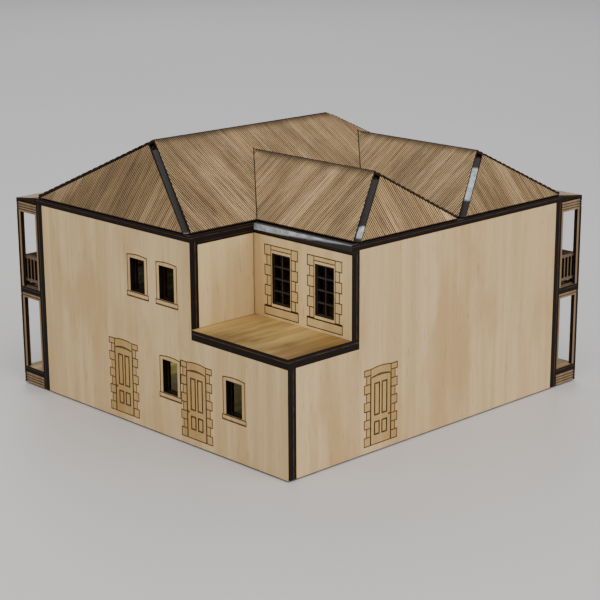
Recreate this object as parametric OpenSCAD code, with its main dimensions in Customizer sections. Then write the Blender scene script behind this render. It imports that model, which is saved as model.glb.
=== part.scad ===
// Tabletop-scale corner house, laser-cut from plywood sheets, with a lift-off hipped roof.
// X runs along the right-hand side wall, Y along the left-hand side wall, Z is up.
// The origin is the centre of the footprint, at table level.

/* [Walls] */
// Length of the building along X, outside the walls
len_x = 117.5; // [110:0.5:125]
// Length of the building along Y, outside the walls
len_y = 113; // [106:0.5:118]
// Height of the outer walls
wall_h = 60; // [56:0.5:64]
// Thickness of the wall and floor plywood
sheet = 3; // [2.8:0.1:3.2]
// Top of the ground-storey walls around the terrace
ground_h = 31.7; // [30:0.1:33]

/* [Terrace] */
// Width of the roof terrace along X
terrace_x = 24.4; // [22:0.1:26]
// Depth of the roof terrace along Y
terrace_y = 39.6; // [38:0.1:41]

/* [Roof] */
// Thickness of the roof's base plate
base_t = 1.8; // [1.5:0.1:2.5]
// Thickness of the locating plate under the base plate
locate_t = 1; // [0.8:0.1:1.5]
// Clearance between the locating plate and the outer walls
locate_gap = 0.2; // [0.1:0.05:0.4]
// Thickness of the corrugated skins
skin_t = 1; // [0.8:0.1:1.2]
// Height of the main ridge above the base plate
main_rise = 21.2; // [19:0.2:23]
// Height of the two wing ridges above the base plate
wing_rise = 15.7; // [14:0.1:17]
// Half of the gap that the skins leave along a hip
hip_gap = 1; // [0.6:0.05:1.1]

/* [Veranda] */
// Depth of the two-storey veranda beyond the right-hand wall
veranda_right_d = 10; // [9:0.5:12]
// Depth of the two-storey veranda beyond the left-hand wall
veranda_left_d = 10.5; // [9:0.5:12]
// Thickness of the veranda's card-thin plywood
thin = 1; // [0.8:0.1:1.2]
// Number of bays along each street side
bays = 5; // [4:1:6]
// Width of a veranda post
post_w = 2; // [1.6:0.1:2.4]

/* [Engraving] */
// Depth of the engraved lines
line_d = 0.3; // [0.15:0.05:0.4]
// Width of the engraved lines
line_w = 0.26; // [0.2:0.02:0.4]

/* [Hidden] */

site_x = len_x + veranda_right_d;
site_y = len_y + veranda_left_d;
floor_top = ground_h + sheet;
recess_h = wall_h - locate_t;
plate_top = wall_h + base_t;

// Veranda levels, from the table up
skirt_h = 3.5;
deck_t = 2;
deck_top = skirt_h + deck_t;
balcony_z = 30.1;
balcony_top = balcony_z + deck_t;
eaves_z = wall_h - 0.4;
wall_post_w = 0.8;
rail_h = 10.1;
baluster_w = 0.6;
baluster_pitch = 1.6;
rail_w = 1;
rail_foot = 0.5;
rail_low = 1.7;
foot_every = 5;
roof_gap = 0.2;

// Doors and windows
door_w = 13.5;
door_base = 2;
door_courses = 8;
course_h = 2.62;
door_head = 24.7;
quoin_long = 2.6;
quoin_step = 0.9;
leaf_top = 22.1;
band_w = 0.45;
small_window = [6.6, 10];
sash_window = [7.5, 15];
column_courses = 6;
column_course_h = 3;
bar_w = 0.5;
sash_t = 1;
sash_reveal = 0.5;

// Gap between the two walls in the terrace's inner corner
corner_gap = 0.35;

// Positions of the openings along each wall: the centre of each, then the bottom of a window
left_doors = [71.3, 38];
left_windows_up = [[63.5, 41.2], [50.2, 41.2]];
left_windows_low = [[49.6, 13.2], [21.9, 13.2]];
right_doors = [36.3];
terrace_windows = [28.3, 10.7];
terrace_sill = 39.2;
street_sill_low = 9;
street_sill_up = 37;
arch_rise = 0.4;
arch_steps = 6;

// Ridges and eaves of the skins, in plan
eave_y = terrace_y + 0.4;
eave_x = terrace_x + 1.6;
valley_x = 69.8 / 117.5 * len_x;
ridge_y = 74.5 / 113 * len_y;
main_front_slope = skin_slope(main_rise, ridge_y - eave_y);
main_left = [15.5, ridge_y];
main_right = [len_x - 27.8, ridge_y];
back_y = eave_y + (wing_rise - skin_lip(main_front_slope)) / main_front_slope;
middle_apex = [(eave_x + valley_x) / 2, 13];
middle_back = [middle_apex[0], back_y];
right_apex = [(valley_x + len_x) / 2, 13.7];
right_back = [right_apex[0], back_y];
ridge_gap = 0.22;
valley_gap = 0.08;
former_t = 2;
former_drop = 2.2;
rafter_t = 2 * hip_gap - 0.3;
rafter_drop = 1.35;

house_wood = [0.80, 0.69, 0.53];
terrace_wood = [0.62, 0.48, 0.28];
roof_wood = [0.60, 0.49, 0.35];
char_wood = [0.16, 0.12, 0.09];

// ---- Placement: u runs along the wall, v is up, and the outer face is at w = 0 ----

module site() { translate([-site_x / 2, -site_y / 2, 0]) children(); }
module faces_west(x) { site() translate([x, 0, 0]) rotate([90, 0, 90]) children(); }
module faces_east(x) { site() translate([x, 0, 0]) mirror([1, 0, 0]) rotate([90, 0, 90]) children(); }
module faces_south(y) { site() translate([0, y, 0]) mirror([0, 1, 0]) rotate([90, 0, 0]) children(); }
module faces_north(y) { site() translate([0, y, 0]) rotate([90, 0, 0]) children(); }

module board(outline, t) { linear_extrude(t) polygon(outline); }
function box_outline(u0, u1, v0, v1) = [[u0, v0], [u1, v0], [u1, v1], [u0, v1]];

// ---- Engraved lines ----

module line(a, b) {
    d = b - a;
    translate(a) rotate(atan2(d[1], d[0])) translate([-line_w / 2, -line_w / 2])
        square([norm(d) + line_w, line_w]);
}
module rectangle_lines(u0, u1, v0, v1) {
    line([u0, v0], [u1, v0]);
    line([u1, v0], [u1, v1]);
    line([u1, v1], [u0, v1]);
    line([u0, v1], [u0, v0]);
}
function arch_point(u0, u1, v, k, rise) =
    [u0 + (u1 - u0) * k / arch_steps, v + rise * sin(180 * k / arch_steps)];
module arch_line(u0, u1, v, rise) {
    for (k = [0 : arch_steps - 1])
        line(arch_point(u0, u1, v, k, rise), arch_point(u0, u1, v, k + 1, rise));
}

// One column of alternating quoins outwards from inner, with a long one on top, side is -1 or 1
module quoins(inner, side, v0, v1, pitch, courses) {
    for (k = [0 : courses]) {
        outer = inner + side * ((courses - k) % 2 == 0 ? quoin_long : quoin_long - quoin_step);
        v = v0 + k * pitch;
        line([inner, v], [inner + side * quoin_long, v]);
        line([outer, v], [outer, k == courses ? v1 : v + pitch]);
    }
    line([inner, v1], [inner + side * quoin_long, v1]);
}

// A wider burnt band
module band(u0, u1, v0, v1) { translate([u0, v0]) square([u1 - u0, v1 - v0]); }
module door_panel(u, v0, v1) {
    panel_w = 2.36;
    difference() {
        band(u, u + panel_w, v0, v1);
        band(u + band_w, u + panel_w - band_w, v0 + band_w, v1 - band_w);
    }
}

module door_lines(u) {
    inner = door_w / 2 - quoin_long;
    for (side = [-1, 1]) {
        quoins(u + side * inner, side, door_base, door_head, course_h, door_courses);
        band(u + side * inner - band_w / 2, u + side * inner + band_w / 2, door_base, leaf_top);
        line([u + side * inner, leaf_top], [u + side * inner, door_head]);
    }
    for (left = [u - 2.76, u + 0.3]) {
        door_panel(left, 10.6, 20.4);
        door_panel(left, 4.7, 8.9);
    }
    arch_line(u - inner, u + inner, door_head, arch_rise);
    door_hood(u - inner, u + inner, leaf_top);
    line([u - inner, door_base], [u + inner, door_base]);
    band(u + inner - 1, u + inner, 9.6, 10.2);
}
// The dark crescent over a door's leaf
module door_hood(u0, u1, v) {
    polygon(concat([for (k = [0 : arch_steps]) arch_point(u0, u1, v + 0.1, k, 0.75)],
                   [for (k = [arch_steps : -1 : 0]) arch_point(u0, u1, v - 0.1, k, 0.3)]));
}

module small_window_lines(c) {
    half = small_window[0] / 2 + 1.25;
    head = c[1] + small_window[1] + 0.8;
    line([c[0] - half, c[1] - 0.3], [c[0] - half, head]);
    line([c[0] + half, c[1] - 0.3], [c[0] + half, head]);
    arch_line(c[0] - half, c[0] + half, head, arch_rise);
    rectangle_lines(c[0] - half - 0.4, c[0] + half + 0.4, c[1] - 1.7, c[1] - 0.3);
    band(c[0] - half - 0.4, c[0] + half + 0.4, c[1] - 1.9, c[1] - 1.9 + band_w);
}
module small_window_hole(c) {
    translate([c[0] - small_window[0] / 2, c[1], -1]) cube([small_window[0], small_window[1], sheet + 2]);
}

module sash_window_lines(u, v) {
    inner = sash_window[0] / 2 + 0.45;
    half = inner + quoin_long;
    foot = v - 0.8;
    head = foot + column_courses * column_course_h;
    lintel = v + sash_window[1] + 0.9;
    for (side = [-1, 1]) {
        quoins(u + side * inner, side, foot, head, column_course_h, column_courses - 1);
        line([u + side * inner, foot], [u + side * inner, head]);
    }
    line([u - inner, head], [u + inner, head]);
    line([u - inner, lintel], [u + inner, lintel]);
    rectangle_lines(u - half - 0.2, u + half + 0.2, foot - 2.8, foot - 0.3);
}
module sash_window_hole(u, v) {
    translate([u - sash_window[0] / 2, v, -1]) cube([sash_window[0], sash_window[1], sheet + 2]);
}

// A glazing-bar sheet that is glued into a sash window's opening, just behind the outer face
module sash(u, v) {
    w = sash_window[0];
    h = sash_window[1];
    pane_w = (w - 3 * bar_w) / 2;
    pane_h = (h - 5 * bar_w) / 4;
    translate([u - w / 2, v, sash_reveal]) difference() {
        cube([w, h, sash_t]);
        for (i = [0 : 1]) for (j = [0 : 3])
            translate([bar_w + i * (pane_w + bar_w), bar_w + j * (pane_h + bar_w), -1])
                cube([pane_w, pane_h, sash_t + 2]);
    }
}

module engrave() { translate([0, 0, -1]) linear_extrude(1 + line_d) children(); }

// ---- House ----

module ground_floor_plate() {
    color(house_wood) site() translate([sheet, sheet, 0])
        cube([len_x - 2 * sheet, len_y - 2 * sheet, sheet]);
}

module left_wall() {
    color(house_wood) faces_west(0) difference() {
        board([[0, 0], [len_y - sheet, 0], [len_y - sheet, wall_h], [terrace_y, wall_h],
               [terrace_y, ground_h], [0, ground_h]], sheet);
        for (c = concat(left_windows_up, left_windows_low)) small_window_hole(c);
        engrave() {
            for (c = concat(left_windows_up, left_windows_low)) small_window_lines(c);
            for (u = left_doors) door_lines(u);
        }
    }
}

module right_wall() {
    color(house_wood) faces_south(0) difference() {
        board([[sheet, 0], [len_x - sheet, 0], [len_x - sheet, wall_h], [terrace_x + sheet, wall_h],
               [terrace_x + sheet, ground_h], [sheet, ground_h]], sheet);
        engrave() for (u = right_doors) door_lines(u);
    }
}

// Centre of bay k of a street side that is len long
function bay_centre(len, k) = (k + 0.5) * len / bays;
function is_door_bay(k) = k % 2 == 1;

module street_wall(u0, u1, len) {
    difference() {
        board(box_outline(u0, u1, 0, wall_h), sheet);
        for (k = [0 : bays - 1]) {
            sash_window_hole(bay_centre(len, k), street_sill_up);
            if (!is_door_bay(k)) sash_window_hole(bay_centre(len, k), street_sill_low);
        }
        engrave() for (k = [0 : bays - 1]) {
            sash_window_lines(bay_centre(len, k), street_sill_up);
            if (is_door_bay(k)) translate([0, deck_top - door_base]) door_lines(bay_centre(len, k));
            else sash_window_lines(bay_centre(len, k), street_sill_low);
        }
    }
}
module street_sashes(len) {
    for (k = [0 : bays - 1]) {
        sash(bay_centre(len, k), street_sill_up);
        if (!is_door_bay(k)) sash(bay_centre(len, k), street_sill_low);
    }
}
module street_wall_left() { color(house_wood) faces_north(len_y) street_wall(0, len_x, len_x); }
module street_wall_right() { color(house_wood) faces_east(len_x) street_wall(0, len_y - sheet, len_y); }
module street_sashes_left() { color(char_wood) faces_north(len_y) street_sashes(len_x); }
module street_sashes_right() { color(char_wood) faces_east(len_x) street_sashes(len_y); }

module terrace_plain_wall() {
    color(house_wood) faces_south(terrace_y)
        board(box_outline(sheet, terrace_x - corner_gap, floor_top, recess_h), sheet);
}

module terrace_window_wall() {
    color(house_wood) faces_west(terrace_x) difference() {
        board(box_outline(0, terrace_y + sheet, floor_top, recess_h), sheet);
        for (u = terrace_windows) sash_window_hole(u, terrace_sill);
        engrave() for (u = terrace_windows) sash_window_lines(u, terrace_sill);
    }
}
module terrace_sash(k) {
    color(char_wood) faces_west(terrace_x) sash(terrace_windows[k], terrace_sill);
}
module terrace_sash_inner() { terrace_sash(0); }
module terrace_sash_outer() { terrace_sash(1); }

module first_floor_plate() {
    color(terrace_wood) site() translate([0, 0, ground_h])
        board([[0, 0], [terrace_x + sheet, 0], [terrace_x + sheet, sheet], [len_x - sheet, sheet],
               [len_x - sheet, len_y - sheet], [sheet, len_y - sheet], [sheet, terrace_y],
               [0, terrace_y]], sheet);
}

// ---- Veranda ----

// An L-shaped plate that wraps around the street corner
module corner_plate(z, t) {
    site() translate([0, 0, z])
        board([[len_x, 0], [site_x, 0], [site_x, site_y], [0, site_y], [0, len_y], [len_x, len_y]], t);
}
module veranda_deck() { color(house_wood) corner_plate(skirt_h, deck_t); }
module balcony_floor() { color(house_wood) corner_plate(balcony_z, deck_t); }

module skirt(u0, u1) {
    planks = 4;
    difference() {
        board(box_outline(u0, u1, 0, skirt_h), thin);
        engrave() for (k = [1 : planks - 1])
            line([u0 - 1, k * skirt_h / planks], [u1 + 1, k * skirt_h / planks]);
    }
}
module skirt_right() { color(house_wood) faces_east(site_x) skirt(0, site_y); }
module skirt_left() { color(house_wood) faces_north(site_y) skirt(0, site_x - thin); }
module skirt_end_right() { color(house_wood) faces_south(0) skirt(len_x, site_x - thin); }
module skirt_end_left() { color(house_wood) faces_west(0) skirt(len_y, site_y - thin); }

// A long frame: posts between open bays, with a beam along the top
module bay_frame(u0, u1, v0, v1, beam) {
    bay_w = (u1 - u0 - (bays + 1) * post_w) / bays;
    difference() {
        board(box_outline(u0, u1, v0, v1), thin);
        for (k = [0 : bays - 1])
            translate([u0 + post_w + k * (bay_w + post_w), v0 - 1, -1])
                cube([bay_w, v1 - v0 - beam + 1, thin + 2]);
        engrave() beam_lines(u0, u1, v1, beam);
    }
}
module beam_lines(u0, u1, v1, beam) {
    planks = beam > 2 ? 4 : 2;
    for (k = [1 : planks - 1])
        line([u0 - 1, v1 - k * beam / planks], [u1 + 1, v1 - k * beam / planks]);
}
lower_beam = 1.5;
upper_beam = 3.2;

module lower_frame_right() {
    color(house_wood) faces_east(site_x) bay_frame(0, site_y, deck_top, balcony_z, lower_beam);
}
module lower_frame_left() {
    color(house_wood) faces_north(site_y) bay_frame(0, site_x - thin, deck_top, balcony_z, lower_beam);
}
module upper_frame_right() {
    color(house_wood) faces_east(site_x) bay_frame(0, site_y, balcony_top, eaves_z, upper_beam);
}
module upper_frame_left() {
    color(house_wood) faces_north(site_y) bay_frame(0, site_x - thin, balcony_top, eaves_z, upper_beam);
}

// A short frame across the end of the veranda, with its thin post against the wall
module end_frame(u0, u1, v0, v1, beam) {
    difference() {
        board(box_outline(u0, u1, v0, v1), thin);
        translate([u0 + wall_post_w, v0 - 1, -1])
            cube([u1 - u0 - wall_post_w - post_w + thin, v1 - v0 - beam + 1, thin + 2]);
        engrave() beam_lines(u0, u1, v1, beam);
    }
}
module lower_end_frame_right() {
    color(house_wood) faces_south(0) end_frame(len_x, site_x - thin, deck_top, balcony_z, lower_beam);
}
module lower_end_frame_left() {
    color(house_wood) faces_west(0) end_frame(len_y, site_y - thin, deck_top, balcony_z, lower_beam);
}
module upper_end_frame_right() {
    color(house_wood) faces_south(0) end_frame(len_x, site_x - thin, balcony_top, eaves_z, upper_beam);
}
module upper_end_frame_left() {
    color(house_wood) faces_west(0) end_frame(len_y, site_y - thin, balcony_top, eaves_z, upper_beam);
}

module railing(u0, u1) {
    count = floor((u1 - u0 - baluster_w) / baluster_pitch);
    pitch = (u1 - u0 - baluster_w) / count;
    difference() {
        board(box_outline(u0, u1, balcony_top, balcony_top + rail_h), thin);
        for (k = [0 : count - 1])
            translate([u0 + baluster_w + k * pitch, balcony_top + rail_low + rail_w, -1])
                cube([pitch - baluster_w, rail_h - rail_low - 2 * rail_w, thin + 2]);
        for (k = [0 : foot_every : count - 1])
            translate([u0 + baluster_w + k * pitch, balcony_top + rail_foot, -1])
                cube([min(foot_every, count - k) * pitch - baluster_w, rail_low - rail_foot, thin + 2]);
    }
}
module railing_right() { color(char_wood) faces_east(site_x - thin) railing(2 * thin, site_y - thin); }
module railing_left() { color(char_wood) faces_north(site_y - thin) railing(2 * thin, site_x - 2 * thin); }
module railing_end_right() { color(char_wood) faces_south(thin) railing(len_x, site_x - thin); }
module railing_end_left() { color(char_wood) faces_west(thin) railing(len_y, site_y - thin); }

// ---- Sloping sheets ----
// A sheet over the plan outline whose underside lies on z = z0 + slope * distance from the eave

function unit(v) = v / norm(v);
function inward(a, b) = let (d = unit(b - a)) [-d[1], d[0]];
function meet(p, d, q, e) =
    p + d * ((q[0] - p[0]) * e[1] - (q[1] - p[1]) * e[0]) / (d[0] * e[1] - d[1] * e[0]);
// The outline with each edge moved inwards by its own gap, edge i starting at point i
function inset(outline, gaps) = [
    for (i = [0 : len(outline) - 1])
        let (n = len(outline), before = outline[(i + n - 1) % n], here = outline[i],
             after = outline[(i + 1) % n])
        meet(here + inward(before, here) * gaps[(i + n - 1) % n], here - before,
             here + inward(here, after) * gaps[i], after - here)
];
// A sheet of thickness t whose top passes through height z along the eave, cut off level at the
// height floor. eave is [a point on the eave, the unit direction from the eave up the slope]
module sloping_sheet(outline, eave, z, slope, t, floor) {
    reach = 2 * site_x;
    site() intersection() {
        translate([0, 0, floor]) linear_extrude(main_rise + 3 * sheet) polygon(outline);
        translate([eave[0][0], eave[0][1], z]) rotate([0, -atan(slope), atan2(eave[1][1], eave[1][0])])
            translate([-reach, -reach, -t]) cube([2 * reach, 2 * reach, t]);
    }
}

// A skin's eave is cut square, so its top starts this far above the base plate
function skin_lip(slope) = skin_t * cos(atan(slope));
function skin_slope(rise, run, steps = 5, slope = 0.6) =
    steps == 0 ? slope : skin_slope(rise, run, steps - 1, (rise - skin_lip(slope)) / run);

veranda_fall = 1.3;
inner_x = len_x + roof_gap;
inner_y = len_y + roof_gap;
veranda_roof_z = eaves_z + thin;
module veranda_roof_right() {
    color(house_wood) sloping_sheet(
        [[inner_x, 0], [site_x, 0], [site_x, site_y], [inner_x, inner_y]],
        [[site_x, 0], [-1, 0]], veranda_roof_z, veranda_fall / veranda_right_d, thin, eaves_z);
}
module veranda_roof_left() {
    color(house_wood) sloping_sheet(
        [[inner_x, inner_y], [site_x, site_y], [0, site_y], [0, inner_y]],
        [[0, site_y], [0, -1]], veranda_roof_z, veranda_fall / veranda_left_d, thin, eaves_z);
}

// ---- Roof ----

module roof_base_plate() {
    color(char_wood) site() translate([0, 0, wall_h])
        board([[terrace_x, 0], [len_x, 0], [len_x, len_y], [0, len_y], [0, terrace_y],
               [terrace_x, terrace_y]], base_t);
}

module roof_locating_plate() {
    inside = sheet + locate_gap;
    beside_wall = terrace_x + sheet - locate_gap;
    color(char_wood) site() translate([0, 0, recess_h])
        board([[terrace_x, 0], [beside_wall, 0], [beside_wall, inside], [len_x - inside, inside],
               [len_x - inside, len_y - inside], [inside, len_y - inside], [inside, terrace_y],
               [terrace_x, terrace_y]], locate_t);
}

main_top = plate_top + main_rise - former_drop;
wing_top = plate_top + wing_rise - former_drop;
former_foot = 2;
module ridge_former_main() {
    color(house_wood) faces_south(ridge_y - former_t / 2)
        board([[former_foot, plate_top], [len_x - former_foot, plate_top],
               [main_right[0] - 1, main_top], [main_left[0] + 1, main_top]], former_t);
}
module wing_former(apex) {
    color(house_wood) faces_west(apex[0] - former_t / 2)
        board([[former_foot, plate_top], [ridge_y - former_t / 2, plate_top],
               [ridge_y - former_t / 2, wing_top], [apex[1] + 1, wing_top]], former_t);
}
module ridge_former_middle() { wing_former(middle_apex); }
module ridge_former_right() { wing_former(right_apex); }

// A vertical plate in the slot along a hip, from corner towards apex, over the share reach of
// the way, starting at the distance s0 from the corner
module hip_rafter(corner, apex, rise, reach, s0 = 1.6) {
    run = apex - corner;
    long = norm(run);
    s1 = long * reach;
    foot = skin_lip(rise / long) - rafter_drop;
    site() translate([corner[0], corner[1], plate_top]) rotate([0, 0, atan2(run[1], run[0])])
        translate([0, rafter_t / 2, 0]) rotate([90, 0, 0])
            board([[s0, 0], [s1, 0], [s1, s1 * rise / long + foot], [s0, s0 * rise / long + foot]],
                  rafter_t);
}
module hip_rafters_main() {
    color(char_wood) {
        hip_rafter([0, eave_y], main_left, main_rise, 0.9);
        hip_rafter([0, len_y], main_left, main_rise, 0.9);
        hip_rafter([len_x, len_y], main_right, main_rise, 0.9);
        hip_rafter([len_x, eave_y], main_right, main_rise, 0.74, 12);
    }
}
module hip_rafters_middle() {
    color(char_wood) {
        hip_rafter([eave_x, 0], middle_apex, wing_rise, 0.9);
        hip_rafter([valley_x, 0], middle_apex, wing_rise, 0.9);
    }
}
module hip_rafters_right() {
    color(char_wood) {
        hip_rafter([valley_x, 0], right_apex, wing_rise, 0.9);
        hip_rafter([len_x, 0], right_apex, wing_rise, 0.9);
    }
}

// A skin over the outline, rising from the eave to a ridge that is rise high and run away
module skin(outline, gaps, eave, rise, run) {
    slope = skin_slope(rise, run);
    color(roof_wood)
        sloping_sheet(inset(outline, gaps), eave, plate_top + skin_lip(slope), slope, skin_t, plate_top);
}
module main_skin_front() {
    skin([[0, eave_y], [eave_x, eave_y], middle_back, [valley_x, eave_y], right_back,
          [len_x, eave_y], main_right, main_left],
         [0, valley_gap, valley_gap, valley_gap, valley_gap, hip_gap, ridge_gap, hip_gap],
         [[0, eave_y], [0, 1]], main_rise, ridge_y - eave_y);
}
module main_skin_rear() {
    skin([[len_x, len_y], [0, len_y], main_left, main_right], [0, hip_gap, ridge_gap, hip_gap],
         [[0, len_y], [0, -1]], main_rise, len_y - ridge_y);
}
module main_hip_skin_left() {
    skin([[0, len_y], [0, eave_y], main_left], [0, hip_gap, hip_gap],
         [[0, 0], [1, 0]], main_rise, main_left[0]);
}
module main_hip_skin_right() {
    skin([[len_x, eave_y], [len_x, len_y], main_right], [0, hip_gap, hip_gap],
         [[len_x, 0], [-1, 0]], main_rise, len_x - main_right[0]);
}
module middle_skin_left() {
    skin([[eave_x, 0], middle_apex, middle_back, [eave_x, eave_y]], [hip_gap, ridge_gap, valley_gap, 0],
         [[eave_x, 0], [1, 0]], wing_rise, middle_apex[0] - eave_x);
}
module middle_skin_right() {
    skin([[valley_x, 0], [valley_x, eave_y], middle_back, middle_apex],
         [valley_gap, valley_gap, ridge_gap, hip_gap],
         [[valley_x, 0], [-1, 0]], wing_rise, valley_x - middle_apex[0]);
}
module middle_hip_skin() {
    skin([[eave_x, 0], [valley_x, 0], middle_apex], [0, hip_gap, hip_gap],
         [[0, 0], [0, 1]], wing_rise, middle_apex[1]);
}
module right_skin_left() {
    skin([[valley_x, 0], right_apex, right_back, [valley_x, eave_y]],
         [hip_gap, ridge_gap, valley_gap, valley_gap],
         [[valley_x, 0], [1, 0]], wing_rise, right_apex[0] - valley_x);
}
module right_skin_right() {
    skin([[len_x, 0], [len_x, eave_y], right_back, right_apex], [0, valley_gap, ridge_gap, hip_gap],
         [[len_x, 0], [-1, 0]], wing_rise, len_x - right_apex[0]);
}
module right_hip_skin() {
    skin([[valley_x, 0], [len_x, 0], right_apex], [0, hip_gap, hip_gap],
         [[0, 0], [0, 1]], wing_rise, right_apex[1]);
}

ground_floor_plate();
left_wall();
right_wall();
street_wall_left();
street_wall_right();
terrace_plain_wall();
terrace_window_wall();
first_floor_plate();
terrace_sash_inner();
terrace_sash_outer();
street_sashes_left();
street_sashes_right();
veranda_deck();
balcony_floor();
skirt_left();
skirt_right();
skirt_end_left();
skirt_end_right();
lower_frame_left();
lower_frame_right();
lower_end_frame_left();
lower_end_frame_right();
upper_frame_left();
upper_frame_right();
upper_end_frame_left();
upper_end_frame_right();
railing_left();
railing_right();
railing_end_left();
railing_end_right();
veranda_roof_left();
veranda_roof_right();
roof_base_plate();
roof_locating_plate();
ridge_former_main();
ridge_former_middle();
ridge_former_right();
hip_rafters_main();
hip_rafters_middle();
hip_rafters_right();
main_skin_front();
main_skin_rear();
main_hip_skin_left();
main_hip_skin_right();
middle_skin_left();
middle_skin_right();
middle_hip_skin();
right_skin_left();
right_skin_right();
right_hip_skin();
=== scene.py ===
import math

import bmesh
import bpy
from mathutils import Euler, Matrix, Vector


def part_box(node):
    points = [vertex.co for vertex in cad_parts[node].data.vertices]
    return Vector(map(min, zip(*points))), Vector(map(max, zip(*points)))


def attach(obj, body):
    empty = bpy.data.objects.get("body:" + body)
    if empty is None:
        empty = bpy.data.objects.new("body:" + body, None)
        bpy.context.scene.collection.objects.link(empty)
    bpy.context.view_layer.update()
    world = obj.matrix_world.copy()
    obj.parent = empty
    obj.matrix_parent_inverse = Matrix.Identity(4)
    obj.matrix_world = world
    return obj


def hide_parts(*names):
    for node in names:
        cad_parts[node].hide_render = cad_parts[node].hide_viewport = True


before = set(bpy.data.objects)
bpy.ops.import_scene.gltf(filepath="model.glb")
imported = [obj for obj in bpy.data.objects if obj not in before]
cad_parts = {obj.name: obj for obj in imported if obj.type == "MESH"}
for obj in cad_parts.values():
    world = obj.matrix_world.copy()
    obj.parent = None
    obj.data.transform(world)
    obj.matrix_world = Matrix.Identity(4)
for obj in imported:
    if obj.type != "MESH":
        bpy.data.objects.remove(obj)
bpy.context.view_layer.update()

MM = 0.001

# ---- Camera: a long lens looking at the corner with the terrace ----

CAMERA_PLACE = Vector((-355.6, -370.4, 168.3)) * MM
CAMERA_YAW = math.radians(46.15)
CAMERA_PITCH = math.radians(-15.41)
CAMERA_ROLL = math.radians(-0.3)
CAMERA_LENS = 100.2
CAMERA_SENSOR = 36
NEAREST, FARTHEST = 0.01, 50


def make_camera():
    data = bpy.data.cameras.new("camera")
    data.sensor_width = CAMERA_SENSOR
    data.lens = CAMERA_LENS
    data.clip_start = NEAREST
    data.clip_end = FARTHEST
    camera = bpy.data.objects.new("camera", data)
    bpy.context.scene.collection.objects.link(camera)
    camera.rotation_mode = "QUATERNION"
    camera.location = CAMERA_PLACE
    aim = Euler((math.pi / 2 + CAMERA_PITCH, 0, CAMERA_YAW - math.pi / 2), "XYZ").to_quaternion()
    camera.rotation_quaternion = aim @ Euler((0, 0, CAMERA_ROLL)).to_quaternion()
    bpy.context.scene.camera = camera


make_camera()

# ---- Node graphs ----

# Sockets of a colour mix, whose names repeat
MIX_SHARE, MIX_FIRST, MIX_SECOND, MIX_RESULT = 0, 6, 7, 2


class Graph:
    """A material's node tree, with one short call for each kind of node."""

    def __init__(self, name):
        self.material = bpy.data.materials.new(name)
        self.material.use_nodes = True
        self.tree = self.material.node_tree
        self.tree.nodes.clear()
        self.shader = self.tree.nodes.new("ShaderNodeBsdfPrincipled")
        output = self.tree.nodes.new("ShaderNodeOutputMaterial")
        self.tree.links.new(self.shader.outputs[0], output.inputs[0])

    def put(self, socket, value):
        """A link or a constant; one number may stand for a vector, and a colour may be of three."""
        if isinstance(value, bpy.types.NodeSocket):
            self.tree.links.new(value, socket)
        elif hasattr(socket.default_value, "__len__") and not hasattr(value, "__len__"):
            socket.default_value = [value] * len(socket.default_value)
        elif socket.type == "RGBA" and hasattr(value, "__len__") and len(value) == 3:
            socket.default_value = (*value, 1)
        else:
            socket.default_value = value

    def add(self, kind, inputs, **settings):
        node = self.tree.nodes.new("ShaderNode" + kind)
        for name, value in settings.items():
            setattr(node, name, value)
        for key, value in inputs.items():
            self.put(node.inputs[key], value)
        return node

    def place(self):
        return self.add("TexCoord", {}).outputs["Object"]

    def uv(self):
        return self.add("UVMap", {}, uv_map="sheet").outputs["UV"]

    def attribute(self, name):
        return self.add("Attribute", {}, attribute_name=name).outputs["Fac"]

    def axes(self):
        return self.add("SeparateXYZ", {0: self.place()}).outputs

    def scaled(self, vector, scale):
        return self.add("Mapping", {"Vector": vector, "Scale": scale}).outputs[0]

    def noise(self, vector, scale=1.0, detail=3.0, rough=0.55, distortion=0.0):
        return self.add("TexNoise", {"Vector": vector, "Scale": scale, "Detail": detail,
                                     "Roughness": rough, "Distortion": distortion}).outputs["Fac"]

    def math(self, operation, a, b=0.0):
        return self.add("Math", {0: a, 1: b}, operation=operation).outputs[0]

    def times(self, a, b):
        return self.math("MULTIPLY", a, b)

    def ramp(self, value, low, high, out_low=0.0, out_high=1.0):
        """value from low..high taken to out_low..out_high, smoothly and clamped."""
        return self.add("MapRange", {"Value": value, "From Min": low, "From Max": high,
                                     "To Min": out_low, "To Max": out_high},
                        interpolation_type="SMOOTHSTEP").outputs["Result"]

    def mix(self, share, a, b, blend="MIX"):
        node = self.tree.nodes.new("ShaderNodeMix")
        node.data_type = "RGBA"
        node.blend_type = blend
        self.put(node.inputs[MIX_SHARE], share)
        self.put(node.inputs[MIX_FIRST], a)
        self.put(node.inputs[MIX_SECOND], b)
        return node.outputs[MIX_RESULT]

    def bump(self, height, depth, strength):
        normal = self.add("Bump", {"Height": height, "Distance": depth, "Strength": strength})
        self.tree.links.new(normal.outputs[0], self.shader.inputs["Normal"])

    def finish(self, color, roughness, specular):
        self.put(self.shader.inputs["Base Color"], color)
        self.put(self.shader.inputs["Roughness"], roughness)
        self.shader.inputs["Specular IOR Level"].default_value = specular
        return self.material


# ---- Materials ----

# What is left of the wood's own colour beside a cut, over small engraved areas and where it is
# browned, and how much of the first two is put on
SCORCH = (0.26, 0.18, 0.12)
SCORCH_SHARE = 0.85
TINT = (0.62, 0.52, 0.22)
TINT_SHARE = 0.9
BROWNED = (0.48, 0.40, 0.32)
# Char, the browner ply in the middle of a cut edge, patches where char is worn, and a bright and a
# dull painted highlight (a reflection painted into the char's colour)
CHAR = (0.0115, 0.0088, 0.0072)
MIDDLE_PLY = (0.100, 0.050, 0.024)
WORN_CHAR = (0.030, 0.020, 0.013)
PAINTED_SHEEN, DULL_PAINTED_SHEEN = (0.52, 0.58, 0.63), (0.26, 0.28, 0.30)
ROOF_BURN = (0.026, 0.014, 0.007)
# Where the browner ply lies, as a share of the sheet's thickness
MIDDLE_PLY_AT = 0.66
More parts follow.
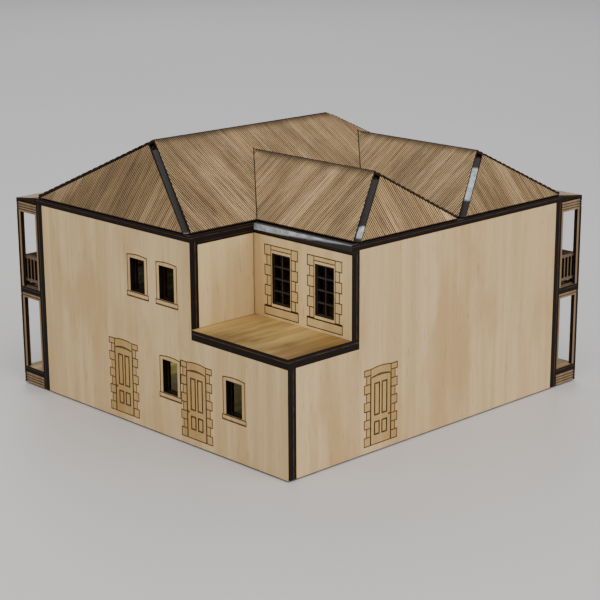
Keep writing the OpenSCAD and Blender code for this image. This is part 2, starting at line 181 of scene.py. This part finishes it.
# How far apart the painted highlight on char is fully there and fully gone
PAINTED_SHEEN_FADE = 0.8 * MM


def grain_place(g, grain, across, along):
    """Object coordinates stretched so that a texture runs along the grain axis, per metre."""
    scale = [across] * 3
    scale[grain] = along
    return g.scaled(g.place(), scale)


def bare_ply(name, grain, pale, tan, stain, dark, blotch=0.35, cover=0.5, browned=None):
    """Bare veneer: cloudy figure, long fibres, short pores, and a brown burn beside every cut.
    The stain has the strength blotch, and less of it shows the higher cover is; browned gives
    the two Y positions between which the sheet turns from brown to clean."""
    g = Graph(name)
    clouds = g.noise(grain_place(g, grain, 55, 20), detail=5)
    figure = g.noise(grain_place(g, grain, 260, 11), detail=5, distortion=0.4)
    fibres = g.noise(grain_place(g, grain, 1500, 45), detail=4, rough=0.65)
    pores = g.noise(grain_place(g, grain, 2600, 160), detail=2)
    color = g.mix(g.ramp(figure, 0.34, 0.68), pale, tan)
    color = g.mix(g.times(g.ramp(clouds, cover, cover + 0.2), blotch), color, stain)
    color = g.mix(g.ramp(fibres, 0.45, 0.75, 0, 0.32), color, tan)
    color = g.mix(g.ramp(pores, 0.62, 0.74, 0, 0.5), color, dark)
    if browned:
        worn = g.math("ADD", g.axes()["Y"], g.ramp(clouds, 0.3, 0.7, -6 * MM, 6 * MM))
        color = g.mix(g.ramp(worn, *browned, 0.95, 0), color, BROWNED, "MULTIPLY")
    burn = g.times(g.attribute("burn"), g.ramp(g.noise(g.place(), 900), 0.2, 0.7, 0.5, 1.0))
    color = g.mix(g.times(g.attribute("tint"), TINT_SHARE), color, TINT, "MULTIPLY")
    color = g.mix(g.times(burn, SCORCH_SHARE), color, SCORCH, "MULTIPLY")
    g.bump(g.math("SUBTRACT", fibres, g.ramp(pores, 0.62, 0.74, 0, 0.6)), 0.05 * MM, 0.6)
    return g.finish(color, g.ramp(figure, 0.3, 0.7, 0.52, 0.66), 0.35)


def charred_edge():
    """A laser-cut edge: black char, drawn down across the plies, with a browner middle ply."""
    g = Graph("charred_edge")
    depth = g.attribute("depth")
    streaks = g.noise(g.place(), 3200, detail=2)
    patches = g.noise(g.place(), 260, detail=4)
    off_middle = g.math("ABSOLUTE", g.math("SUBTRACT", depth, MIDDLE_PLY_AT))
    near = g.ramp(off_middle, 0.02, 0.08, 1, 0)
    color = g.mix(g.times(near, g.ramp(patches, 0.35, 0.65, 0.25, 0.9)), CHAR, MIDDLE_PLY)
    color = g.mix(g.ramp(patches, 0.6, 0.8, 0, 0.45), color, WORN_CHAR)
    rough = g.math("ADD", g.ramp(patches, 0.3, 0.7, 0.42, 0.6), g.times(streaks, 0.12))
    g.bump(g.math("ADD", streaks, g.times(near, -0.8)), 0.05 * MM, 0.5)
    return g.finish(color, rough, 0.06)


def painted_sheen_char(name, bottom, top, rise=0.0, corner=0.0):
    """A charred strip with a painted highlight (a pale reflection mixed into its colour) and lower
    roughness, between two heights in metres. Both heights rise by so much per metre away from the
    corner, towards -Y."""
    g = Graph(name)
    patches = g.noise(g.place(), 420, detail=3)
    place = g.axes()
    sunk = g.times(g.math("SUBTRACT", corner, place["Y"]), rise)
    height = g.math("SUBTRACT", place["Z"], sunk)
    uneven = g.math("ADD", height, g.ramp(patches, 0.3, 0.7, -0.15 * MM, 0.15 * MM))
    share = g.times(g.ramp(uneven, bottom, bottom + PAINTED_SHEEN_FADE),
                    g.ramp(uneven, top, top + PAINTED_SHEEN_FADE, 1, 0))
    # Painted highlight: a pale bluish reflection colour mixed over the char
    painted_sheen_color = g.mix(g.ramp(patches, 0.35, 0.65), PAINTED_SHEEN, DULL_PAINTED_SHEEN)
    g.bump(g.noise(g.place(), 2600, detail=2), 0.02 * MM, 0.5)
    rough = g.math("SUBTRACT", g.ramp(patches, 0.3, 0.7, 0.5, 0.6), g.times(share, 0.3))
    return g.finish(g.mix(share, CHAR, painted_sheen_color), rough, 0.35)


def engraved(name, light, dark):
    """The floor and sides of an engraved line, burnt unevenly."""
    g = Graph(name)
    patches = g.noise(g.place(), 700, detail=3)
    color = g.mix(g.ramp(patches, 0.3, 0.7), dark, light)
    g.bump(g.noise(g.place(), 5000, detail=2), 0.04 * MM, 0.7)
    return g.finish(color, g.ramp(patches, 0.3, 0.7, 0.6, 0.85), 0.3)


def corrugated_ply(name, tones):
    """Roof veneer: UVs run along the eave and up the slope. Burn is high in the engraved lines,
    which are burnt unevenly, and smoke beside the cut edges and below a ridge."""
    g = Graph(name)
    uv = g.uv()
    clouds = g.noise(g.scaled(uv, (70, 30, 1)), detail=4)
    figure = g.noise(g.scaled(uv, (300, 14, 1)), detail=5, distortion=0.3)
    fibres = g.noise(g.scaled(uv, (1400, 60, 1)), detail=4, rough=0.7)
    color = g.mix(g.ramp(figure, 0.36, 0.64), *tones[:2])
    color = g.mix(g.ramp(clouds, 0.40, 0.62, 0, 0.7), color, tones[2])
    color = g.mix(g.ramp(fibres, 0.46, 0.66, 0, 0.7), color, tones[3])
    uneven = g.noise(g.scaled(uv, (620, 10, 1)), detail=2)
    burn = g.times(g.attribute("burn"), g.ramp(uneven, 0.38, 0.62, 0.35, 1.35))
    color = g.mix(g.math("MAXIMUM", burn, g.attribute("smoke")), color, ROOF_BURN)
    g.bump(fibres, 0.05 * MM, 0.6)
    return g.finish(color, g.ramp(figure, 0.3, 0.7, 0.55, 0.7), 0.3)


X, Y, Z = 0, 1, 2
# Each veneer's pale wood, tan figure, stain and dark pores
WALL_COLORS = ((0.66, 0.470, 0.246), (0.55, 0.376, 0.180),
               (0.49, 0.302, 0.124), (0.25, 0.155, 0.075))
# A lighter copy of the wall veneer for the terrace walls in the recess: painted light
LIT_RECESS_COLORS = ((0.76, 0.560, 0.285), (0.66, 0.465, 0.215), (0.55, 0.36, 0.15), (0.30, 0.19, 0.09))
FLOOR_COLORS = ((0.56, 0.385, 0.128), (0.33, 0.200, 0.062),
                (0.13, 0.075, 0.024), (0.10, 0.056, 0.020))
THIN_COLORS = ((0.30, 0.205, 0.115), (0.21, 0.135, 0.070), (0.15, 0.09, 0.04), (0.08, 0.045, 0.02))
SKIN_COLORS = ((0.62, 0.420, 0.212), (0.44, 0.285, 0.132),
               (0.26, 0.165, 0.076), (0.16, 0.098, 0.045))
# The railings' veneer, also laid on the balcony floor as painted shade
RAIL_AND_SHADED_FLOOR_COLORS = ((0.17, 0.115, 0.068), (0.12, 0.078, 0.043),
               (0.09, 0.055, 0.028), (0.05, 0.03, 0.015))
DARK_COLORS = ((0.034, 0.024, 0.016), (0.024, 0.016, 0.010),
               (0.02, 0.012, 0.007), (0.01, 0.007, 0.004))

wall_ply = bare_ply("wall_ply", Z, *WALL_COLORS, blotch=0.75, cover=0.47)
lit_recess_ply = bare_ply("lit_recess_ply", Z, *LIT_RECESS_COLORS, blotch=0.4)
near_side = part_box("first_floor_plate")[0].y
floor_ply = bare_ply("floor_ply", X, *FLOOR_COLORS, blotch=0.9, cover=0.42,
                     browned=(near_side, near_side + 19 * MM))
thin_ply = bare_ply("thin_ply", Z, *THIN_COLORS)
rail_and_shaded_floor_ply = bare_ply("rail_and_shaded_floor_ply", Z, *RAIL_AND_SHADED_FLOOR_COLORS)
dark_ply = bare_ply("dark_ply", Z, *DARK_COLORS)
edge_char = charred_edge()
line_burn = engraved("line_burn", (0.20, 0.115, 0.042), (0.075, 0.038, 0.014))
recess_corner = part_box("terrace_plain_wall")[0].y
# Painted highlight: a pale reflection painted into the char on the base plate's edge over the
# terrace windows
painted_sheen_edge = painted_sheen_char("painted_sheen_edge", 59.2 * MM, 70 * MM, 0.055, recess_corner)

# ---- Boards: the flat sheets, rebuilt from the CAD solids with burnt edges and lines ----

# Slots of a board's materials: the sheet's own surface, its cut edge and its engraved lines
FACE, EDGE, LINE = 0, 1, 2
# A line's floor lies more than the first below the surface. Its sides are lower than the second,
# and only a sheet thicker than the third has lines
SURFACE_DEPTH, GROOVE_DEPTH, ENGRAVED_SHEET = 0.02 * MM, 0.5 * MM, 0.6 * MM
# A face with more than this of its normal along an axis faces along it
FACING = 0.9
WELD = 0.002 * MM
JOIN_ANGLE = math.radians(0.5)
# The burnt rim, and how many rims wide an area has to be, on average, to have one
BURN_WIDTH = 0.12 * MM
NARROWEST_LAND = 3
# Areas smaller than the first are tinted; faces larger than the second are a sloping sheet's own
LARGEST_LAND = 150 * MM * MM
SMALLEST_SHEET = 100 * MM * MM
# Doors start below one height and end below the other, and are browner than the window surrounds
DOOR_FOOT, DOOR_TOP = 6 * MM, 31 * MM
DOOR_TINT, WINDOW_TINT = 0.72, 0.33


def clean_copy(node):
    """The CAD node's mesh as a bmesh, with split corners welded and flat regions joined."""
    bm = bmesh.new()
    bm.from_mesh(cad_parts[node].data)
    bmesh.ops.remove_doubles(bm, verts=bm.verts, dist=WELD)
    bmesh.ops.dissolve_limit(bm, angle_limit=JOIN_ANGLE, verts=bm.verts, edges=bm.edges)
    return bm


def lands(surface):
    """The separate areas of a board's surface, each with its faces and its area."""
    left = set(surface)
    while left:
        area, stack = [], [left.pop()]
        while stack:
            face = stack.pop()
            area.append(face)
            beside = {f for edge in face.edges for f in edge.link_faces if f in left}
            left -= beside
            stack.extend(beside)
        yield area, sum(f.calc_area() for f in area)


def mean_width(land, area):
    """The width of the strip that has the land's area and the length of its outline."""
    inside = set(land)
    outline = [e for f in land for e in f.edges if len(inside.intersection(e.link_faces)) == 1]
    return 2 * area / sum(e.calc_length() for e in outline)


def inset_rim(bm, surface, width):
    """A rim of the given width round each area of the surface wide enough for one. The areas are
    cut into triangles first."""
    wide = [f for land, area in lands(surface)
            if mean_width(land, area) > NARROWEST_LAND * width for f in land]
    parts = bmesh.ops.triangulate(bm, faces=wide)["faces"]
    rim = bmesh.ops.inset_region(bm, faces=parts, thickness=width, use_even_offset=True)
    for face in rim["faces"]:
        face.material_index = FACE


def sheet_axis(node):
    low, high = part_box(node)
    size = high - low
    return min(range(3), key=lambda k: size[k])


def kind_of(face, axis, low, high):
    """Whether a face is the sheet's own surface, its cut edge, or part of an engraved line."""
    along = [v.co[axis] for v in face.verts]
    if abs(face.normal[axis]) > FACING:
        middle = sum(along) / len(along)
        return FACE if min(abs(middle - low), abs(middle - high)) < SURFACE_DEPTH else LINE
    in_groove = max(along) - min(along) < GROOVE_DEPTH and high - low > ENGRAVED_SHEET
    return LINE if in_groove else EDGE


def extent(verts, axis):
    """The lowest and the highest place of the vertices on an axis."""
    return min(v.co[axis] for v in verts), max(v.co[axis] for v in verts)


def link_piece(name, bm, materials, body, nodes):
    mesh = bpy.data.meshes.new(name)
    bm.to_mesh(mesh)
    bm.free()
    for material in materials:
        mesh.materials.append(material)
    piece = bpy.data.objects.new(name, mesh)
    bpy.context.scene.collection.objects.link(piece)
    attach(piece, body)
    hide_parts(*nodes)
    return piece


def board(node, face_ply, body):
    """A piece like the CAD sheet, with a thin burnt rim round each cut and engraved line."""
    axis = sheet_axis(node)
    low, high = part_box(node)
    low, high = low[axis], high[axis]
    bm = clean_copy(node)
    for face in bm.faces:
        face.material_index = kind_of(face, axis, low, high)
    surface = [f for f in bm.faces if f.material_index == FACE]
    inset_rim(bm, surface, BURN_WIDTH)
    tint = bm.verts.layers.float.new("tint")
    burn = bm.verts.layers.float.new("burn")
    depth = bm.verts.layers.float.new("depth")
    surface = [f for f in bm.faces if f.material_index == FACE]
    small = [{v for f in land for v in f.verts}
             for land, area in lands(surface) if area < LARGEST_LAND]
    across = Y if axis == X else X
    doors = [extent(land, across) for land in small
             if extent(land, Z)[0] < DOOR_FOOT and "wall" in node]
    for land in small:
        middle = sum(extent(land, across)) / 2
        in_door = extent(land, Z)[1] < DOOR_TOP and any(a < middle < b for a, b in doors)
        for vert in land:
            vert[tint] = DOOR_TINT if in_door else WINDOW_TINT
    for vert in bm.verts:
        kinds = {f.material_index for f in vert.link_faces}
        vert[burn] = 1.0 if kinds != {FACE} else 0.0
        vert[depth] = (vert.co[axis] - low) / (high - low)
    return link_piece(node + "_board", bm, [face_ply, edge_char, line_burn], body, [node])


def sloping_board(node, face_ply, body):
    """A sloping sheet with charred edges and a thin burnt rim on its top and underside."""
    bm = clean_copy(node)
    for face in bm.faces:
        face.material_index = FACE if abs(face.normal.z) > FACING else EDGE
    surface = [f for f in bm.faces if f.material_index == FACE and f.calc_area() > SMALLEST_SHEET]
    inset_rim(bm, surface, 2 * BURN_WIDTH)
    burn = bm.verts.layers.float.new("burn")
    depth = bm.verts.layers.float.new("depth")
    for vert in bm.verts:
        vert[burn] = 1.0 if any(f.material_index == EDGE for f in vert.link_faces) else 0.0
        vert[depth] = 1.0 if vert.normal.z > 0 else 0.0
    return link_piece(node + "_board", bm, [face_ply, edge_char], body, [node])


def recess_edge_painted_sheen(plate):
    """The base plate's edge over the terrace windows gets its own material, with a painted
    highlight.
    """
    recess_edge = len(plate.data.materials)
    plate.data.materials.append(painted_sheen_edge)
    over_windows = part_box("terrace_window_wall")[0].x
    for face in plate.data.polygons:
        if face.normal.x < -FACING and abs(face.center.x - over_windows) < MM:
            face.material_index = recess_edge


ROOF_BOARDS = ["roof_base_plate", "roof_locating_plate", "ridge_former_main",
               "ridge_former_middle", "ridge_former_right"]
RAFTERS = ["hip_rafters_main", "hip_rafters_middle", "hip_rafters_right"]
FLOORS = ["first_floor_plate", "veranda_deck", "ground_floor_plate"]
SKINS = [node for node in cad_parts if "_skin" in node]


def ply_of(node):
    """The veneer on the faces of a flat sheet, from its name."""
    if node in ROOF_BOARDS:
        return dark_ply if "plate" in node else wall_ply
    if node in FLOORS:
        return floor_ply
    # The terrace walls get the lighter copy of the wall veneer, painted light
    if node.startswith("terrace") and node.endswith("wall"):
        return lit_recess_ply
    # The balcony floor gets the railings' dark veneer as painted shade from the veranda roof above
    # it
    if "railing" in node or node == "balcony_floor":
        return rail_and_shaded_floor_ply
    if "sash" in node:
        return dark_ply
    if "frame" in node or "skirt" in node or "veranda_roof" in node:
        return thin_ply
    return wall_ply


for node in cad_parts:
    if node in SKINS or node in RAFTERS:
        continue
    build = sloping_board if "veranda_roof" in node else board
    piece = build(node, ply_of(node), "roof" if node in ROOF_BOARDS else "house")
    if node == "roof_base_plate":
        recess_edge_painted_sheen(piece)

# ---- Corrugated skins ----

PITCH = 0.75 * MM
LINE_DEPTH = 0.24 * MM
# Sections of the sheet are more than this far apart
CLOSEST = 0.004 * MM
SAME_PLACE = 1e-9
SKIN_WELD = 0.001 * MM
# The burnt rim; along a ridge the burn is wide, with smoke below it
RIM = 0.25 * MM
RIDGE_RIM = 0.7 * MM
SMOKE = 3.2 * MM
RIDGE_BURN = 0.75
ON_RIDGE = 0.01 * MM
# One period of the engraving: share of the pitch, depth, burn
PROFILE = [(0.0, 0.0, 0.4), (0.07, 0.0, 0.0), (0.47, 0.0, 0.0), (0.54, 0.0, 0.4),
           (0.62, 1.0, 1.0), (0.92, 1.0, 1.0)]
# What lies between each corner of a section and the next, from the eave up and back underneath
SECTION_KINDS = (FACE, FACE, FACE, FACE, EDGE, FACE, EDGE)
# Each roof sheet's tones are scaled to paint the light and shade that falls on its slope; the
# sheets at the back share one
BACK_PAINTED_LIGHT = 0.92
PAINTED_SLOPE_LIGHT = {"main_hip_skin_left": 0.70, "main_skin_front": 0.92, "right_skin_left": 0.94,
          "right_hip_skin": 0.84, "middle_skin_left": 1.0, "middle_hip_skin": 1.22}


def top_face(bm):
    """The largest face that looks up."""
    return max((f for f in bm.faces if f.normal.z > 0), key=lambda f: f.calc_area())


def span(outline, a):
    """Lowest and highest b at which the line through a crosses the outline."""
    found = []
    for (a0, b0), (a1, b1) in zip(outline, outline[1:] + outline[:1]):
        if min(a0, a1) - SAME_PLACE <= a <= max(a0, a1) + SAME_PLACE:
            if abs(a1 - a0) < SAME_PLACE:
                found += [b0, b1]
            else:
                found.append(b0 + (b1 - b0) * (a - a0) / (a1 - a0))
    return min(found), max(found)


def profile_at(a, start):
    """Depth and burn of the engraving at a, as shares, where a line's period begins at start."""
    share = ((a - start) / PITCH) % 1.0
    points = PROFILE + [(1.0, *PROFILE[0][1:])]
    for (s0, d0, k0), (s1, d1, k1) in zip(points, points[1:]):
        if s0 <= share <= s1:
            t = (share - s0) / (s1 - s0)
            return d0 + (d1 - d0) * t, k0 + (k1 - k0) * t


def section_places(outline):
    """Places along the eave at which the outline has a corner or the engraving changes."""
    first, last = min(p[0] for p in outline), max(p[0] for p in outline)
    places = {first, last, *(p[0] for p in outline)}
    for k in range(math.ceil((last - first) / PITCH) + 1):
        places |= {first + (k + share) * PITCH for share, _, _ in PROFILE}
    places = sorted(p for p in places if first <= p <= last)
    kept = [places[0]]
    for place in places[1:]:
        if place - kept[-1] > CLOSEST:
            kept.append(place)
    return kept


def section(outline, a, top, bottom):
    """The corners of the sheet's section at a, each with its place up the slope, its height and
    its smoke, and the section's burn."""
    low, high = span(outline, a)
    cut, burn = profile_at(a, min(p[0] for p in outline))
    on_ridge = high > max(p[1] for p in outline) - ON_RIDGE
    rim = min(RIM, (high - low) / 3)
    upper_rim = min(RIDGE_RIM if on_ridge else RIM, (high - low) / 3)
    fade = min(SMOKE, (high - low) / 2)
    surface = top - cut * LINE_DEPTH
    corners = ((low, surface, 1), (low + rim, surface, 0), (high - fade, surface, 0),
               (high - upper_rim, surface, RIDGE_BURN * on_ridge), (high, surface, 1),
               (high, bottom, 1), (low, bottom, 1))
    return corners, burn


def corrugated_skin(node):
    """A thin sheet with lines engraved up the slope, cut to the CAD skin's outline."""
    source = clean_copy(node)
    face = top_face(source)
    normal = face.normal.copy()
    edge = [v.co.copy() for v in face.verts]
    heights = [v.co.dot(normal) for v in source.verts]
    top, bottom = max(heights), min(heights)
    source.free()
    up = (Vector((0, 0, 1)) - normal * normal.z).normalized()
    side = up.cross(normal)
    outline = [(c.dot(side), c.dot(up)) for c in edge]
    bm = bmesh.new()
    smoke = bm.verts.layers.float.new("smoke")
    burn = bm.verts.layers.float.new("burn")
    depth = bm.verts.layers.float.new("depth")
    columns = []
    for a in section_places(outline):
        corners, scorch = section(outline, a, top, bottom)
        column = []
        for b, n, black in corners:
            vert = bm.verts.new(side * a + up * b + normal * n)
            vert[burn] = scorch
            vert[smoke] = black
            vert[depth] = (n - bottom) / (top - bottom)
            column.append(vert)
        columns.append(column)
    uv = bm.loops.layers.uv.new("sheet")
    for p, q in zip(columns, columns[1:]):
        for k, kind in enumerate(SECTION_KINDS):
            j = (k + 1) % len(SECTION_KINDS)
            made = bm.faces.new([p[k], p[j], q[j], q[k]])
            made.material_index = kind
            for loop in made.loops:
                loop[uv].uv = (loop.vert.co.dot(side), loop.vert.co.dot(up))
    for end in (columns[0], columns[-1]):
        made = bm.faces.new(end)
        made.material_index = EDGE
    bmesh.ops.remove_doubles(bm, verts=bm.verts, dist=SKIN_WELD)
    bmesh.ops.recalc_face_normals(bm, faces=bm.faces)
    # Painted light and shade: the sheet's tones are scaled by how brightly its slope is lit
    painted_light = PAINTED_SLOPE_LIGHT.get(node, BACK_PAINTED_LIGHT)
    tones = [[painted_light * part for part in tone] for tone in SKIN_COLORS]
    ply = corrugated_ply(node + "_ply", tones)
    link_piece(node + "_sheet", bm, [ply, edge_char], "roof", [node])


for node in SKINS:
    corrugated_skin(node)

# Heights between which the rafters' sloping tops get a painted highlight, a sheen painted into
# their char
PAINTED_SHEEN_HEIGHTS = {"hip_rafters_right": (65.5 * MM, 72.5 * MM), "hip_rafters_middle": (62.6 * MM, 65 * MM),
           "hip_rafters_main": (61.8 * MM, 61.9 * MM)}
STEEPEST, FLATTEST = 0.2, 0.999
for node in RAFTERS:
    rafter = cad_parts[node]
    rafter.data.materials.clear()
    rafter.data.materials.append(edge_char)
    rafter.data.materials.append(painted_sheen_char(node + "_top", *PAINTED_SHEEN_HEIGHTS[node]))
    for face in rafter.data.polygons:
        face.material_index = 1 if STEEPEST < face.normal.z < FLATTEST else 0

# ---- Floor and light ----

FLOOR_GAP = 0.45 * MM
FLOOR_RADIUS = 4
FLOOR_TONES = (0.555, 0.54, 0.53), (0.585, 0.57, 0.56)
SURROUNDINGS = (0.78, 0.80, 0.84, 1)
SURROUNDINGS_STRENGTH = 0.55
GLOW_COLOR = (0.75, 0.95, 0.72)
GLOW_SIZE = 3 * MM


def make_floor():
    g = Graph("studio_floor")
    mottle = g.noise(g.place(), 6, detail=2)
    g.finish(g.mix(mottle, *FLOOR_TONES), 0.45, 0.3)
    bm = bmesh.new()
    bmesh.ops.create_circle(bm, cap_ends=True, segments=64, radius=FLOOR_RADIUS)
    mesh = bpy.data.meshes.new("studio_floor")
    bm.to_mesh(mesh)
    bm.free()
    mesh.materials.append(g.material)
    floor = bpy.data.objects.new("studio_floor", mesh)
    floor.location.z = -FLOOR_GAP
    bpy.context.scene.collection.objects.link(floor)


def soft_light(name, place, size, power, color=(1, 1, 1)):
    """A square light that faces the part."""
    data = bpy.data.lights.new(name, "AREA")
    data.shape = "SQUARE"
    data.size = size
    data.energy = power
    data.color = color
    light = bpy.data.objects.new(name, data)
    light.location = place
    light.rotation_mode = "QUATERNION"
    light.rotation_quaternion = (-Vector(place)).to_track_quat("-Z", "Y")
    bpy.context.scene.collection.objects.link(light)


def glow(name, place, power):
    """Daylight that gets in at the street side, seen through the small windows."""
    data = bpy.data.lights.new(name, "POINT")
    data.shadow_soft_size = GLOW_SIZE
    data.energy = power
    data.color = GLOW_COLOR
    light = bpy.data.objects.new(name, data)
    light.location = place
    bpy.context.scene.collection.objects.link(light)


def make_world():
    world = bpy.data.worlds.new("studio")
    world.use_nodes = True
    background = world.node_tree.nodes["Background"]
    background.inputs["Color"].default_value = SURROUNDINGS
    background.inputs["Strength"].default_value = SURROUNDINGS_STRENGTH
    bpy.context.scene.world = world


make_floor()
make_world()
# Each light's place and size in metres, power in watts, and colour
soft_light("key", (-0.35, -0.55, 1.1), 0.9, 11, (1.0, 0.97, 0.93))
soft_light("left_window", (-1.3, 0.5, 0.5), 0.8, 6, (0.95, 0.96, 0.93))
soft_light("right_window", (0.5, -1.3, 0.5), 0.8, 9, (0.95, 0.97, 1.0))
soft_light("back", (0.7, 0.9, 0.9), 0.9, 6)
glow("glow_below", (-10 * MM, 36 * MM, 15 * MM), 0.0095)
glow("glow_above", (-26 * MM, 19 * MM, 38 * MM), 0.0009)
